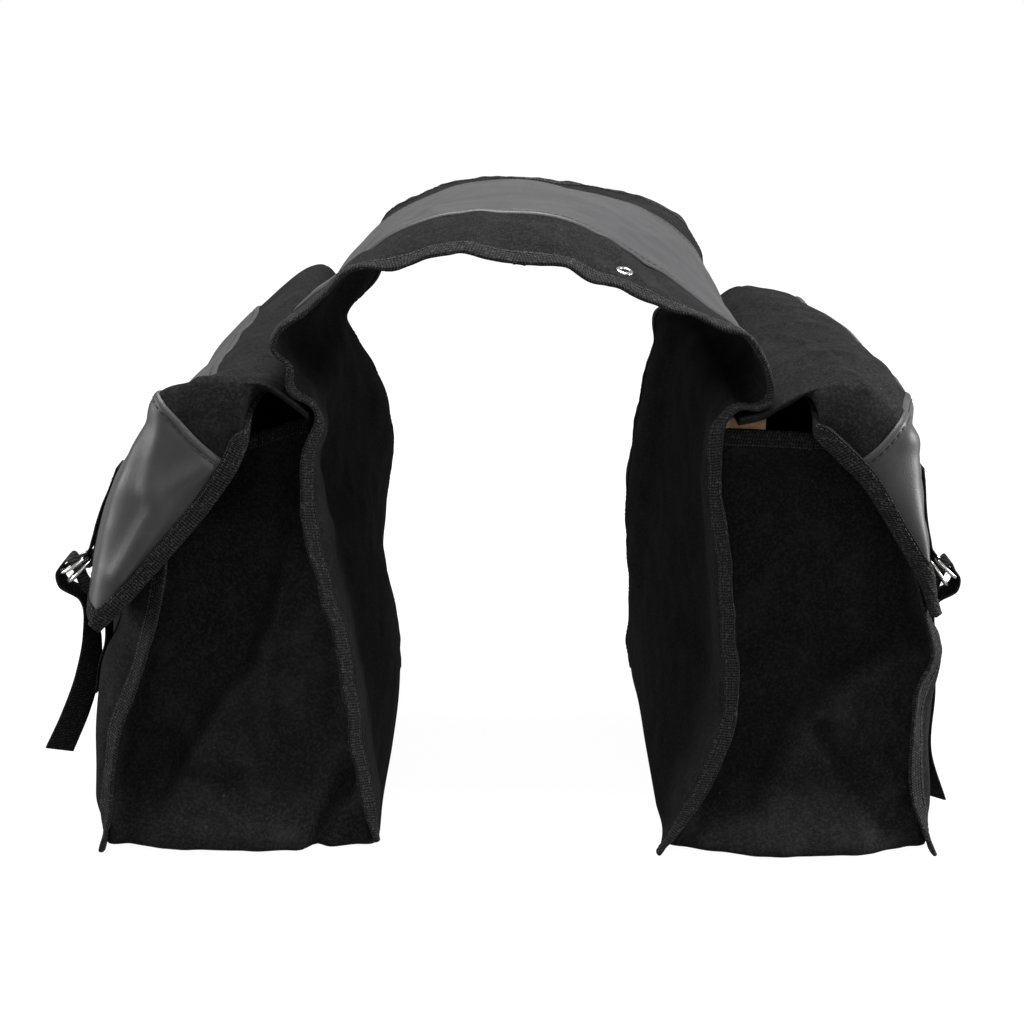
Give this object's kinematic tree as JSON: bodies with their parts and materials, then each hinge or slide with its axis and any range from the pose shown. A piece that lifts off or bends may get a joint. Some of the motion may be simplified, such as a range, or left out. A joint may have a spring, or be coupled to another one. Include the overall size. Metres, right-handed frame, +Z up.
{
  "type": "double pannier bag",
  "caption": "Double bicycle pannier: lidded canvas bags with leather-faced flaps and double-ring straps, joined by an arched bridge that lies over a rear rack.",
  "frame": {"origin": "on the surface that the bags stand on, midway between the bags and midway along them", "axes": "+X across the bicycle from the left bag to the right bag, +Y along the bicycle from the pictured end to the other end, +Z up"},
  "size_m": [0.6014, 0.3516, 0.4052],
  "materials": {
    "canvas": "matte black plain-weave canvas",
    "leather": "soft satin dark grey imitation leather",
    "binding_tape": "ribbed black grosgrain tape, stitched",
    "webbing": "ribbed black woven webbing",
    "fibreboard": "plain brown fibreboard",
    "nickel": "bright nickel plate"
  },
  "bodies": {
    "bridge": {"bridge_canvas": "canvas", "bridge_front_binding": "binding_tape", "bridge_leather": "leather", "bridge_rear_binding": "binding_tape", "front_eyelet": "nickel", "front_eyelet_washer": "nickel"},
    "left_front_ring_pair": {"left_front_rings": "nickel"},
    "left_rear_ring_pair": {"left_rear_rings": "nickel"},
    "left_lid": {"left_front_chape": "webbing", "left_lid_binding": "binding_tape", "left_lid_canvas": "canvas", "left_lid_leather": "leather", "left_rear_chape": "webbing"},
    "left_bag": {"left_back_board": "fibreboard", "left_back_panel": "canvas", "left_back_seam_binding": "binding_tape", "left_base_board": "fibreboard", "left_front_strap": "webbing", "left_gusset": "canvas", "left_mouth_binding": "binding_tape", "left_outer_panel": "canvas", "left_outer_seam_binding": "binding_tape", "left_rear_strap": "webbing"},
    "right_front_ring_pair": {"right_front_rings": "nickel"},
    "right_rear_ring_pair": {"right_rear_rings": "nickel"},
    "right_lid": {"right_front_chape": "webbing", "right_lid_binding": "binding_tape", "right_lid_canvas": "canvas", "right_lid_leather": "leather", "right_rear_chape": "webbing"},
    "right_bag": {"right_back_board": "fibreboard", "right_back_panel": "canvas", "right_back_seam_binding": "binding_tape", "right_base_board": "fibreboard", "right_front_strap": "webbing", "right_gusset": "canvas", "right_mouth_binding": "binding_tape", "right_outer_panel": "canvas", "right_outer_seam_binding": "binding_tape", "right_rear_strap": "webbing"}
  },
  "joints": [
    {"name": "left_bag_swing", "type": "hinge", "parent": "bridge", "child": "left_bag", "pos_m": [-0.124, 0, 0.2885], "axis": [0, 1, 0], "range_deg": [-10, 15]},
    {"name": "left_lid_hinge", "type": "hinge", "parent": "left_bag", "child": "left_lid", "pos_m": [-0.152, 0, 0.295], "axis": [0, 1, 0], "range_deg": [0, 72], "deforming": ["left_front_strap", "left_rear_strap"]},
    {"name": "left_front_ring_swing", "type": "hinge", "parent": "left_lid", "child": "left_front_ring_pair", "pos_m": [-0.276, -0.1, 0.177], "axis": [0, 1, 0], "range_deg": [-10, 20]},
    {"name": "left_rear_ring_swing", "type": "hinge", "parent": "left_lid", "child": "left_rear_ring_pair", "pos_m": [-0.276, 0.1, 0.177], "axis": [0, 1, 0], "range_deg": [-10, 20]},
    {"name": "right_bag_swing", "type": "hinge", "parent": "bridge", "child": "right_bag", "pos_m": [0.124, 0, 0.2885], "axis": [0, -1, 0], "range_deg": [-10, 15]},
    {"name": "right_lid_hinge", "type": "hinge", "parent": "right_bag", "child": "right_lid", "pos_m": [0.152, 0, 0.295], "axis": [0, -1, 0], "range_deg": [0, 72], "deforming": ["right_front_strap", "right_rear_strap"]},
    {"name": "right_front_ring_swing", "type": "hinge", "parent": "right_lid", "child": "right_front_ring_pair", "pos_m": [0.276, -0.1, 0.177], "axis": [0, -1, 0], "range_deg": [-10, 20]},
    {"name": "right_rear_ring_swing", "type": "hinge", "parent": "right_lid", "child": "right_rear_ring_pair", "pos_m": [0.276, 0.1, 0.177], "axis": [0, -1, 0], "range_deg": [-10, 20]}
  ]
}
